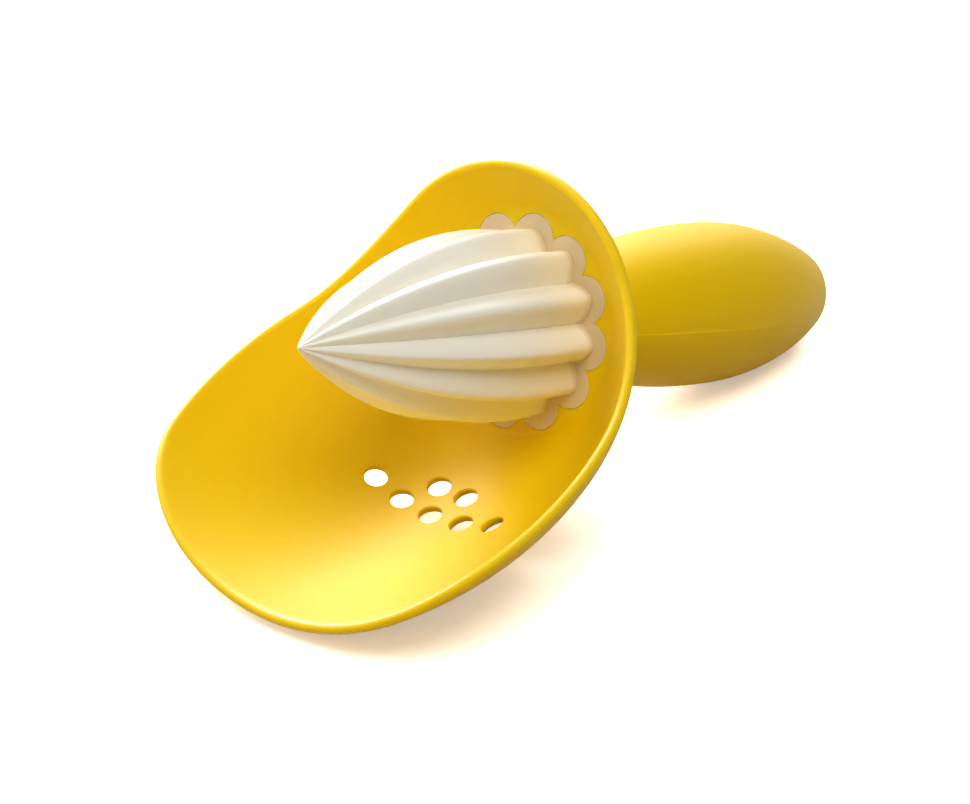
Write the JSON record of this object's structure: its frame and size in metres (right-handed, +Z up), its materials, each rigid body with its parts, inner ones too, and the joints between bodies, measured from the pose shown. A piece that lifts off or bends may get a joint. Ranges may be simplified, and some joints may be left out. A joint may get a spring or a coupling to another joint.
{
  "type": "citrus juicer",
  "caption": "Hand-held citrus juicer with a ribbed cream reamer, a yellow scoop-shaped catcher bowl with strainer holes and a rounded yellow handle.",
  "frame": {"origin": "middle of the footprint box at the height of the table it lies on", "axes": "+X from the pouring lip towards the handle's end, +Y across the tool, +Z up"},
  "size_m": [0.1981, 0.1016, 0.0808],
  "materials": {
    "reamer_plastic": "satin moulded plastic, cream",
    "bowl_plastic": "semi-gloss moulded plastic, lemon yellow",
    "handle_plastic": "soft matte moulded plastic, lemon yellow"
  },
  "bodies": {
    "root": {"reamer": "reamer_plastic", "catcher_bowl": "bowl_plastic", "handle_upper_shell": "handle_plastic", "handle_lower_shell": "handle_plastic", "handle_end_cap": "handle_plastic"}
  },
  "joints": []
}
